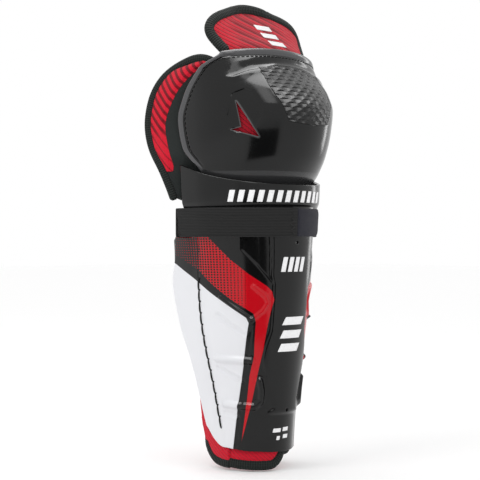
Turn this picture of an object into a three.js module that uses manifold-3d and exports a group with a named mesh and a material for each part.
// Ice hockey shin guard for a right leg, junior size. It is 280 mm from the knee cap's centre to the shell's lower
// edge. Millimetres, +Z up. The origin is on the leg's axis at the height of the knee cap's centre, the guard's front
// faces -Y, and the wearer's outer side is -X, where the long calf wing is.
//
// Every shell and pad is a patch of a leg-shaped wrap surface. A point of a wrap surface is given by an angle round
// the leg, in degrees from the front and positive towards the outer side, by its height, and by its distance in or
// out from the outer face of the plastic. Layers nest because they share the surface and differ in that distance.

import * as THREE from 'three';
import { mergeVertices } from 'three/addons/utils/BufferGeometryUtils.js';
import Module from 'manifold-3d';

const wasm = await Module();
wasm.setup();

// ---------------------------------------------------------------------------------------------- driving sizes
const GUARD_SIZE = 280;
const SHELL_BOTTOM = -( GUARD_SIZE + 6 );
const GAP = 0.3;

const SHELL_THICKNESS = 2.6;
const CAP_THICKNESS = 2.8;
const BINDING_RADIUS = 2.3;
const BINDING_CLEARANCE = 1.75;
const STRAP = { top: - 84, bottom: - 107, thickness: 2, tabStart: 1, tabEnd: - 32, turn: 112 };

// [ height, half width, depth of the front ] of the plastic's outer face
const SHIN_SECTIONS = [
	[ - 308, 35, 39 ], [ - 286, 35.4, 40 ], [ - 247, 37.3, 43.1 ], [ - 183, 47.2, 48.6 ], [ - 150, 50.5, 52 ],
	[ - 108, 54.6, 54.6 ], [ - 83, 60.4, 54.8 ], [ - 79, 61.6, 56.6 ], [ - 62, 62.8, 57.2 ], [ - 40, 63.5, 58.5 ],
];
const CAP_SECTIONS = [
	[ - 76, 54, 50 ], [ - 64, 55.5, 51.4 ], [ - 54, 57.8, 59 ], [ - 40, 61, 67 ], [ - 19, 64, 73 ], [ - 2, 65, 75 ],
	[ 11, 65, 69 ], [ 30, 64, 51 ], [ 40, 63.2, 42.5 ], [ 47, 62, 38 ], [ 60, 60, 35 ],
];
const FLAP_SECTIONS = [ [ 44, 58, 33 ], [ 50, 58.5, 29 ], [ 62, 58, 18 ], [ 82, 55, 4 ] ];
const STRAP_SECTIONS = [ [ - 110, 59, 56.3 ], [ - 80, 61.6, 56.3 ] ];
const REAR_CURL = 0.1;

// half angle covered by the thigh flap, by height
const FLAP_HALF_ANGLE = [ [ 46, 52 ], [ 57, 61 ], [ 66, 66 ], [ 76, 65 ], [ 82, 60 ] ];

// angles of the shell's outer edge, where the calf wing is sewn on, and of the calf wing's rear edge, by height
const SEAM_ANGLE = [
	[ - 286, 80 ], [ - 238, 93.5 ], [ - 200, 99 ], [ - 165, 101 ], [ - 134, 99 ], [ - 109, 96 ], [ - 84, 106 ],
	[ - 46, 107 ],
];
const WING_REAR_ANGLE = [
	[ - 286, 106 ], [ - 262, 119 ], [ - 247, 124 ], [ - 215, 131 ], [ - 183, 140 ], [ - 150, 142 ], [ - 125, 133 ],
	[ - 111, 129 ],
];
const INNER_SIDE_ANGLE = - 108;

const CALF_PAD_REAR_ANGLE = [
	[ - 290, 116 ], [ - 282, 125 ], [ - 270, 133 ], [ - 253, 137 ], [ - 215, 137 ], [ - 183, 142 ], [ - 150, 143 ],
	[ - 125, 135 ], [ - 114, 132 ],
];

// half angle covered by the knee cap, by height
const CAP_HALF_ANGLE = [
	[ - 72, 78 ], [ - 50, 91 ], [ - 33, 104 ], [ - 12, 106 ], [ 9, 99 ], [ 30, 83 ], [ 43, 58 ], [ 51, 56 ],
];

// ---------------------------------------------------------------------------------------------- wrap surfaces

// a smooth curve through rows of [ position, value, ... ] that never overshoots a row
function smooth( rows, column, position ) {

	const last = rows.length - 1;
	const at = Math.min( Math.max( position, rows[ 0 ][ 0 ] ), rows[ last ][ 0 ] );
	let low = 0;
	while ( low < last - 1 && rows[ low + 1 ][ 0 ] < at ) low ++;
	const slope = ( i ) => ( rows[ i + 1 ][ column ] - rows[ i ][ column ] ) / ( rows[ i + 1 ][ 0 ] - rows[ i ][ 0 ] );
	const tangent = ( i ) => {

		if ( i === 0 ) return slope( 0 );
		if ( i === last ) return slope( last - 1 );
		const before = slope( i - 1 );
		const after = slope( i );
		return before * after <= 0 ? 0 : 2 * before * after / ( before + after );

	};

	const width = rows[ low + 1 ][ 0 ] - rows[ low ][ 0 ];
	const t = ( at - rows[ low ][ 0 ] ) / width;
	return rows[ low ][ column ] * ( 1 + 2 * t ) * ( 1 - t ) ** 2
		+ rows[ low + 1 ][ column ] * t * t * ( 3 - 2 * t )
		+ tangent( low ) * width * t * ( 1 - t ) ** 2
		+ tangent( low + 1 ) * width * t * t * ( t - 1 );

}

// half an ellipse in front of the leg, and sides that run straight back and curl in a little
function wrapPoint( sections, angle, height, distance ) {

	const width = smooth( sections, 1, height ) + distance;
	const depth = smooth( sections, 2, height ) + distance;
	const turn = THREE.MathUtils.degToRad( Math.abs( angle ) );
	const past = Math.max( turn - Math.PI / 2, 0 );
	const x = past > 0 ? width * ( 1 - REAR_CURL * past * past ) : width * Math.sin( turn );
	const y = past > 0 ? width * past : - depth * Math.cos( turn );
	return new THREE.Vector3( angle > 0 ? - x : x, y, height );

}

// ---------------------------------------------------------------------------------------------- solid builders

function closedGeometry( positions, triangles ) {

	const geometry = new THREE.BufferGeometry();
	geometry.setAttribute( 'position', new THREE.Float32BufferAttribute( positions, 3 ) );
	geometry.setIndex( triangles );
	return geometry;

}

// a slab between two skins: pointAt( u, v, side ) gives a point of the inner skin (side 0) or outer skin (side 1)
function slab( pointAt, columns, rows ) {

	const positions = [];
	const triangles = [];
	const stride = columns + 1;
	const skin = stride * ( rows + 1 );
	for ( const side of [ 0, 1 ] ) {

		for ( let row = 0; row <= rows; row ++ ) {

			for ( let column = 0; column <= columns; column ++ ) {

				positions.push( ...pointAt( column / columns, row / rows, side ).toArray() );

			}

		}

	}

	const quad = ( a, b, c, d ) => triangles.push( a, b, c, a, c, d );
	for ( let row = 0; row < rows; row ++ ) {

		for ( let column = 0; column < columns; column ++ ) {

			const a = row * stride + column;
			quad( a, a + stride, a + stride + 1, a + 1 );
			quad( skin + a, skin + a + 1, skin + a + stride + 1, skin + a + stride );

		}

	}

	const rim = [];
	for ( let column = 0; column < columns; column ++ ) rim.push( column );
	for ( let row = 0; row < rows; row ++ ) rim.push( row * stride + columns );
	for ( let column = columns; column > 0; column -- ) rim.push( rows * stride + column );
	for ( let row = rows; row > 0; row -- ) rim.push( row * stride );
	rim.forEach( ( start, i ) => {

		const end = rim[ ( i + 1 ) % rim.length ];
		quad( start, end, skin + end, skin + start );

	} );

	return facingOut( closedGeometry( positions, triangles ) );

}

// turns a closed mesh inside out when its enclosed volume comes out negative
function facingOut( geometry ) {

	const position = geometry.getAttribute( 'position' );
	const index = geometry.getIndex();
	const [ a, b, c ] = [ new THREE.Vector3(), new THREE.Vector3(), new THREE.Vector3() ];
	let volume = 0;
	for ( let i = 0; i < index.count; i += 3 ) {

		a.fromBufferAttribute( position, index.getX( i ) );
		b.fromBufferAttribute( position, index.getX( i + 1 ) );
		c.fromBufferAttribute( position, index.getX( i + 2 ) );
		volume += a.dot( b.cross( c ) );

	}

	if ( volume < 0 ) geometry.setIndex( Array.from( index.array ).reverse() );
	return geometry;

}

// a patch of a wrap surface between two distances; outline( u, v ) gives [ angle, height ]
function wrapPatch( sections, outline, inner, outer, columns, rows ) {

	return slab( ( u, v, side ) => {

		const [ angle, height ] = outline( u, v );
		return wrapPoint( sections, angle, height, side ? outer : inner );

	}, columns, rows );

}

// an outline between a lower and an upper edge and between two side edges
function between( leftAngle, rightAngle, bottom, top ) {

	return ( u, v ) => {

		const across = 2 * u - 1;
		const low = bottom( across );
		const height = low + v * ( top( across ) - low );
		return [ leftAngle( height ) + u * ( rightAngle( height ) - leftAngle( height ) ), height ];

	};

}

// a round cord, roll or thread along a curve through points
function roll( points, radius, steps, sides = 8 ) {

	const section = new THREE.Shape();
	for ( let i = 0; i < sides; i ++ ) {

		const turn = 2 * Math.PI * i / sides;
		const corner = [ radius * Math.cos( turn ), radius * Math.sin( turn ) ];
		if ( i === 0 ) section.moveTo( ...corner );
		else section.lineTo( ...corner );

	}

	section.closePath();
	const path = new THREE.CatmullRomCurve3( points, false, 'centripetal' );
	return new THREE.ExtrudeGeometry( section, { steps, extrudePath: path, bevelEnabled: false, curveSegments: 1 } );

}

// a rolled edge binding along part of a panel's edge: path is a chain of [ u, v ] on the edge of pointAt( u, v )
function binding( pointAt, path, steps ) {

	const points = [];
	const perLeg = Math.ceil( steps / ( path.length - 1 ) );
	for ( let leg = 0; leg < path.length - 1; leg ++ ) {

		for ( let i = leg === 0 ? 0 : 1; i <= perLeg; i ++ ) {

			const u = THREE.MathUtils.lerp( path[ leg ][ 0 ], path[ leg + 1 ][ 0 ], i / perLeg );
			const v = THREE.MathUtils.lerp( path[ leg ][ 1 ], path[ leg + 1 ][ 1 ], i / perLeg );
			const edge = pointAt( u, v );
			const outward = edgeDirection( pointAt, u, v );
			points.push( edge.addScaledVector( outward, BINDING_RADIUS + BINDING_CLEARANCE ) );

		}

	}

	return roll( points, BINDING_RADIUS, Math.round( points.length * 1.4 ), 6 );

}

// the direction that leads straight off a panel at a point of its edge
function edgeDirection( pointAt, u, v ) {

	const step = 0.01;
	const edge = pointAt( u, v );
	const outward = new THREE.Vector3();
	if ( u < step || u > 1 - step ) outward.add( edge.clone().sub( pointAt( u < 0.5 ? step : 1 - step, v ) ).normalize() );
	if ( v < step || v > 1 - step ) outward.add( edge.clone().sub( pointAt( u, v < 0.5 ? step : 1 - step ) ).normalize() );
	const atCorner = ( u < step || u > 1 - step ) && ( v < step || v > 1 - step );
	if ( atCorner ) return outward;
	const sideways = u < step || u > 1 - step ? pointAt( u, v + step ) : pointAt( u + step, v );
	const along = sideways.sub( edge ).normalize();
	return outward.addScaledVector( along, - outward.dot( along ) ).normalize();

}

// joins equal corners so that a geometry is one closed mesh
function welded( geometry ) {

	const bare = geometry.clone();
	bare.deleteAttribute( 'normal' );
	bare.deleteAttribute( 'uv' );
	return mergeVertices( bare, 1e-4 );

}

function toManifold( geometry ) {

	const mesh = facingOut( welded( geometry ) );
	return new wasm.Manifold( new wasm.Mesh( {
		numProp: 3,
		vertProperties: new Float32Array( mesh.getAttribute( 'position' ).array ),
		triVerts: new Uint32Array( mesh.getIndex().array ),
	} ) );

}

function cut( geometry, tools ) {

	const solid = tools.reduce( ( left, tool ) => left.subtract( toManifold( tool ) ), toManifold( geometry ) );
	const result = solid.getMesh();
	return closedGeometry( Array.from( result.vertProperties ), Array.from( result.triVerts ) );

}

// ---------------------------------------------------------------------------------------------- materials

const FINISH = {
	blackPlastic: { color: 0x1c1d20, roughness: 0.22 },
	whitePlastic: { color: 0xe4e5ea, roughness: 0.35 },
	foam: { color: 0x3a3c3f, roughness: 0.95 },
	blackFabric: { color: 0x1f2322, roughness: 0.9 },
	redFabric: { color: 0xc81b34, roughness: 0.85 },
	elastic: { color: 0x1d1e1e, roughness: 0.8 },
	hookAndLoop: { color: 0x141419, roughness: 0.95 },
	thread: { color: 0x101010, roughness: 0.7 },
	whitePrint: { color: 0xf2f2f2, roughness: 0.6 },
};

const guard = new THREE.Group();
const bodies = {};

function body( name ) {

	bodies[ name ] = new THREE.Group();
	guard.add( bodies[ name ] );
	return bodies[ name ];

}

function add( bodyName, name, geometry, finish ) {

	const material = new THREE.MeshStandardMaterial( { ...FINISH[ finish ], metalness: 0 } );
	const mesh = new THREE.Mesh( welded( geometry ), material );
	mesh.name = name;
	bodies[ bodyName ].add( mesh );

}

// ---------------------------------------------------------------------------------------------- shin

const seamAngle = ( height ) => smooth( SEAM_ANGLE, 1, height );
const shellTop = ( across ) => - 65 + 17 * Math.abs( across ) ** 2.4;
const shellBottom = ( across ) => SHELL_BOTTOM + 4 * across * across;

function frontHole( height ) {

	const hole = new THREE.CylinderGeometry( 1.5, 1.5, 30, 12 );
	hole.translate( 0, - smooth( SHIN_SECTIONS, 2, height ), height );
	return hole;

}

function shinShell() {

	const outline = between( () => INNER_SIDE_ANGLE, seamAngle, shellBottom, shellTop );
	const shell = wrapPatch( SHIN_SECTIONS, outline, - SHELL_THICKNESS, 0, 20, 13 );
	return cut( shell, [ frontHole( - 112 ), frontHole( - 251 ) ] );

}

function shinLayer( inner, outer, margin, bottom, top, columns, rows ) {

	const outline = between(
		() => INNER_SIDE_ANGLE + margin,
		( height ) => seamAngle( height ) - margin,
		() => bottom,
		() => top,
	);
	return wrapPatch( SHIN_SECTIONS, outline, inner, outer, columns, rows );

}

// the liner shows below the shell on the outer side only: over the instep and on the inner side it ends higher
const LINER = { inner: - 10.4, outer: - 7.8, top: - 86, bottom: - 295 };
const linerSide = () => 88;
const linerRise = ( across ) => 11 * THREE.MathUtils.smoothstep( - across, - 0.12, 0.1 );
const linerBottom = ( across ) => LINER.bottom + linerRise( across ) + 1.5 * across ** 4;

const linerOutline = between(
	( height ) => - linerSide( height ),
	( height ) => Math.min( linerSide( height ), seamAngle( height ) - 6 ),
	linerBottom,
	() => LINER.top,
);

function linerBinding() {

	const pointAt = ( u, v ) => wrapPoint( SHIN_SECTIONS, ...linerOutline( u, v ), ( LINER.inner + LINER.outer ) / 2 );
	return binding( pointAt, [ [ 0.02, 0 ], [ 0.98, 0 ] ], 16 );

}

function linerFastener( height ) {

	const outline = ( u, v ) => [ - 16 + 32 * u, height - 12 + 24 * v ];
	return wrapPatch( SHIN_SECTIONS, outline, - 7.1, - 6.3, 3, 1 );

}

function strapPatch( fromAngle, toAngle, inner, outer, columns ) {

	const height = STRAP.top - STRAP.bottom;
	const outline = ( u, v ) => [ fromAngle + u * ( toAngle - fromAngle ), STRAP.bottom + v * height ];
	return wrapPatch( STRAP_SECTIONS, outline, inner, outer, columns, 1 );

}

// the elastic's back run is a shallow arc behind the calf between the shell's two sides
function strapBack() {

	const start = wrapPoint( STRAP_SECTIONS, STRAP.turn, STRAP.top, 0 );
	const halfSpan = - start.x - 0.4;
	const bulge = 26;
	const radius = ( halfSpan ** 2 + bulge ** 2 ) / ( 2 * bulge );
	const halfTurn = Math.asin( halfSpan / radius );
	const centre = start.y + 1.6 + bulge - radius;
	return slab( ( u, v, side ) => {

		const turn = ( 2 * u - 1 ) * halfTurn;
		const reach = radius + side * STRAP.thickness;
		const height = STRAP.bottom + v * ( STRAP.top - STRAP.bottom );
		return new THREE.Vector3( reach * Math.sin( turn ), centre + reach * Math.cos( turn ), height );

	}, 10, 1 );

}

function calfSeamThread() {

	const points = [];
	for ( let i = 0; i <= 8; i ++ ) {

		const height = - 142 - 128 * i / 8;
		points.push( wrapPoint( SHIN_SECTIONS, seamAngle( height ) - 1.2, height, 1.0 ) );

	}

	return roll( points, 0.6, 9, 5 );

}

// fabric that joins the two liners behind the knee cap's skirt
function kneeGusset() {

	const outline = ( u, v ) => [ - 62 + 124 * u, LINER.top + 1 + v * 26 ];
	return wrapPatch( SHIN_SECTIONS, outline, - 13.6, - 12.4, 8, 2 );

}

function addShin() {

	body( 'shin' );
	add( 'shin', 'shin_shell', shinShell(), 'blackPlastic' );
	add( 'shin', 'shin_foam', shinLayer( - 5.6, - SHELL_THICKNESS - 0.7, 7, - 281, - 86, 14, 10 ), 'foam' );
	add( 'shin', 'shin_liner', wrapPatch( SHIN_SECTIONS, linerOutline, LINER.inner, LINER.outer, 16, 8 ), 'redFabric' );
	add( 'shin', 'liner_binding', linerBinding(), 'blackFabric' );
	add( 'shin', 'liner_fastener_upper', linerFastener( - 120 ), 'hookAndLoop' );
	add( 'shin', 'liner_fastener_lower', linerFastener( - 240 ), 'hookAndLoop' );
	add( 'shin', 'calf_seam_thread', calfSeamThread(), 'thread' );
	add( 'shin', 'knee_gusset', kneeGusset(), 'blackFabric' );
	add( 'shin', 'strap_loop_patch', strapPatch( STRAP.tabStart, STRAP.tabEnd + 2, - 1.1, - 0.4, 4 ), 'hookAndLoop' );
	add( 'shin', 'strap_side_run', strapPatch( - 60, - STRAP.turn, 0, STRAP.thickness, 5 ), 'elastic' );
	add( 'shin', 'strap_back_run', strapBack(), 'elastic' );

}

// ---------------------------------------------------------------------------------------------- knee cap

const capSide = ( height ) => smooth( CAP_HALF_ANGLE, 1, height );
const capTop = ( across ) => 43 + 7 * ( 1 - across * across );
const capOutline = between( ( height ) => - capSide( height ), capSide, () => - 72, capTop );

// one side's vent: a bent arrowhead cut right through the cap
function capVent( side ) {

	const centre = wrapPoint( CAP_SECTIONS, side * 47, - 13, 0 );
	const outline = new THREE.Shape();
	outline.moveTo( - 13 * side, 15 );
	outline.lineTo( 6 * side, - 14 );
	outline.lineTo( - 17 * side, - 8 );
	outline.lineTo( - 8.5 * side, - 6 );
	outline.closePath();
	const vent = new THREE.ExtrudeGeometry( outline, { depth: 40, bevelEnabled: false } );
	vent.translate( 0, 0, - 20 );
	const facing = new THREE.Vector3( centre.x, centre.y, 0 ).normalize();
	const across = new THREE.Vector3().crossVectors( new THREE.Vector3( 0, 0, 1 ), facing );
	vent.applyMatrix4( new THREE.Matrix4().makeBasis( across, new THREE.Vector3( 0, 0, 1 ), facing ) );
	vent.translate( centre.x, centre.y, centre.z );
	return vent;

}

function kneeCap() {

	const cap = wrapPatch( CAP_SECTIONS, capOutline, - CAP_THICKNESS, 0, 22, 14 );
	return cut( cap, [ capVent( 1 ), capVent( - 1 ) ] );

}

function capLayer( halfAngle, bottom, top, inner, outer, columns, rows ) {

	const side = ( height ) => Math.min( halfAngle, capSide( height ) - 5 );
	const outline = between( ( height ) => - side( height ), side, () => bottom, () => top );
	return wrapPatch( CAP_SECTIONS, outline, inner, outer, columns, rows );

}

// the line of stitches follows the cap's rim from the foot of one side over the top to the foot of the other
function rimThread() {

	const points = [];
	const inset = 5;
	const sideHeights = [ - 40, - 25, - 8, 10, 27 ];
	for ( const height of sideHeights ) {

		points.push( wrapPoint( CAP_SECTIONS, capSide( height ) - inset, height, 1.6 ) );

	}

	for ( let i = 0; i <= 8; i ++ ) {

		const across = 0.94 - 1.88 * i / 8;
		const height = capTop( across ) - inset;
		points.push( wrapPoint( CAP_SECTIONS, across * ( capSide( height ) - inset ), height, 1.6 ) );

	}

	for ( const height of [ ...sideHeights ].reverse() ) {

		points.push( wrapPoint( CAP_SECTIONS, inset - capSide( height ), height, 1.6 ) );

	}

	return roll( points, 0.6, 26, 5 );

}

function addKnee() {

	body( 'knee' );
	add( 'knee', 'knee_cap', kneeCap(), 'blackPlastic' );
	add( 'knee', 'knee_rim_thread', rimThread(), 'thread' );
	add( 'knee', 'knee_vent_lining', capLayer( 70, - 30, 20, - 4.6, - 3.4, 12, 4 ), 'redFabric' );
	add( 'knee', 'knee_foam', capLayer( 88, - 46, 34, - 10.4, - 5.4, 12, 6 ), 'foam' );
	add( 'knee', 'knee_liner', capLayer( 84, - 52, 38, - 13.4, - 11.4, 12, 6 ), 'redFabric' );

}

// ---------------------------------------------------------------------------------------------- thigh flap

const flapSide = ( height ) => smooth( FLAP_HALF_ANGLE, 1, height );
const flapTop = ( across ) => 79 - 14 * Math.abs( across ) ** 2.5;
const flapBottom = ( across ) => 53 - 6 * Math.abs( across );
const flapOutline = between( ( height ) => - flapSide( height ), flapSide, flapBottom, flapTop );
const FLAP_THICKNESS = 5;

function thighFlapBinding() {

	const pointAt = ( u, v ) => wrapPoint( FLAP_SECTIONS, ...flapOutline( u, v ), - FLAP_THICKNESS / 2 );
	return binding( pointAt, [ [ 0, 0.4 ], [ 0, 1 ], [ 0.15, 1 ], [ 0.85, 1 ], [ 1, 1 ], [ 1, 0.4 ] ], 20 );

}

// a plain badge: one slanted bar
function thighFlapBadge() {

	const outline = ( u, v ) => [ - 11 + 18 * u + 6 * v, 58 + 9 * v ];
	return wrapPatch( FLAP_SECTIONS, outline, 0.5, 1.1, 3, 1 );

}

function addThighFlap() {

	body( 'thigh_flap' );
	add( 'thigh_flap', 'thigh_flap_pad', wrapPatch( FLAP_SECTIONS, flapOutline, - FLAP_THICKNESS, 0, 16, 8 ), 'redFabric' );
	add( 'thigh_flap', 'thigh_flap_binding', thighFlapBinding(), 'blackFabric' );
	add( 'thigh_flap', 'thigh_flap_badge', thighFlapBadge(), 'whitePrint' );

}

// ---------------------------------------------------------------------------------------------- knee wings

// rows of [ height, x, y ] down the outer edge of each knee wing; the inner side's wing is narrower
const WING_EDGE = {
	outer: [
		[ - 74, 62.5, 27 ], [ - 51, 67, 34 ], [ - 30, 71, 45 ], [ - 13, 72.5, 47 ], [ 8, 71, 44 ], [ 28, 66, 33 ],
		[ 41, 60, 17 ],
	],
	inner: [ [ - 62, 59, 26 ], [ - 45, 63, 31 ], [ - 20, 66, 37 ], [ 8, 65, 34 ], [ 28, 62, 24 ], [ 40, 58, 12 ] ],
};
// angle of the line where a knee wing leaves the knee, by height; below the cap it passes behind the shell's corner
const WING_ROOT_ANGLE = [
	[ - 74, 113 ], [ - 46, 111 ], [ - 38, 99 ], [ - 12, 102 ], [ 9, 95 ], [ 20, 91 ], [ 30, 82 ], [ 43, 62 ],
];

// side is 1 for the wearer's outer side (-X) and -1 for the inner side
function wingPoint( rows, side, across, height, distance ) {

	const root = wrapPoint( CAP_SECTIONS, side * smooth( WING_ROOT_ANGLE, 1, height ), height, - 7.9 );
	const edge = new THREE.Vector3( - side * smooth( rows, 1, height ), smooth( rows, 2, height ), height );
	const along = edge.clone().sub( root );
	const outward = new THREE.Vector3( - side * along.y, side * along.x, 0 ).normalize();
	const crown = 3 * Math.sin( Math.PI * across ) ** 2;
	return root.addScaledVector( along, across ).addScaledVector( outward, crown + distance );

}

function wingSlab( rows, side, fromAcross, toAcross, low, high, inner, outer, columns, steps ) {

	return slab( ( u, v, skin ) => {

		const across = fromAcross + u * ( toAcross - fromAcross );
		const height = low + v * ( high - low );
		return wingPoint( rows, side, across, height, skin ? outer : inner );

	}, columns, steps );

}

function wingBinding( rows, side, low, high ) {

	const pointAt = ( u, v ) => wingPoint( rows, side, u, low + v * ( high - low ), - 2 );
	return binding( pointAt, [ [ 1, 0 ], [ 1, 1 ], [ 0.4, 1 ] ], 18 );

}

function addKneeWing( name, side, rows ) {

	body( name );
	const low = rows[ 0 ][ 0 ];
	const high = rows[ rows.length - 1 ][ 0 ];
	add( name, `${ name }_pad`, wingSlab( rows, side, 0.08, 1, low, high, - 4, 0, 4, 14 ), 'blackFabric' );
	const panelLow = side > 0 ? low + 10 : low + 22;
	add( name, `${ name }_panel`, wingSlab( rows, side, 0.5, 0.98, panelLow, high - 3, 1.2, 2, 2, 9 ), 'redFabric' );
	add( name, `${ name }_binding`, wingBinding( rows, side, low, high ), 'blackFabric' );

}

// ---------------------------------------------------------------------------------------------- calf wing

const calfTop = - 111;

function calfWingShell() {

	const outline = between(
		( height ) => seamAngle( height ) + 1.8,
		( height ) => smooth( WING_REAR_ANGLE, 1, height ) - 1,
		( across ) => SHELL_BOTTOM + 4 + 16 * ( ( across + 1 ) / 2 ) ** 2,
		() => calfTop,
	);
	return wrapPatch( SHIN_SECTIONS, outline, - 2.2, 0, 6, 12 );

}

const calfPadOutline = between(
	( height ) => seamAngle( height ) + 6,
	( height ) => smooth( CALF_PAD_REAR_ANGLE, 1, height ),
	( across ) => - 293 + 5 * ( ( across + 1 ) / 2 ) ** 2,
	() => calfTop - 3,
);

function calfWingBinding() {

	const pointAt = ( u, v ) => wrapPoint( SHIN_SECTIONS, ...calfPadOutline( u, v ), - 4.5 );
	return binding( pointAt, [ [ 0.1, 0 ], [ 1, 0 ], [ 1, 1 ] ], 30 );

}

function addCalfWing() {

	body( 'calf_wing' );
	add( 'calf_wing', 'calf_wing_shell', calfWingShell(), 'whitePlastic' );
	add( 'calf_wing', 'calf_wing_pad', wrapPatch( SHIN_SECTIONS, calfPadOutline, - 6.6, - 2.8, 5, 20 ), 'redFabric' );
	add( 'calf_wing', 'calf_wing_binding', calfWingBinding(), 'blackFabric' );

}

// ---------------------------------------------------------------------------------------------- strap

function addStrap() {

	body( 'strap' );
	const elastic = strapPatch( STRAP.tabStart + 0.4, STRAP.turn, 0, STRAP.thickness, 12 );
	const tab = strapPatch( STRAP.tabEnd, STRAP.tabStart, 0, STRAP.thickness + 0.3, 4 );
	add( 'strap', 'strap_front_run', elastic, 'elastic' );
	add( 'strap', 'strap_hook_tab', tab, 'hookAndLoop' );

}

addShin();
addKnee();
addThighFlap();
addKneeWing( 'knee_wing_outer', 1, WING_EDGE.outer );
addKneeWing( 'knee_wing_inner', - 1, WING_EDGE.inner );
addCalfWing();
addStrap();

export default guard;
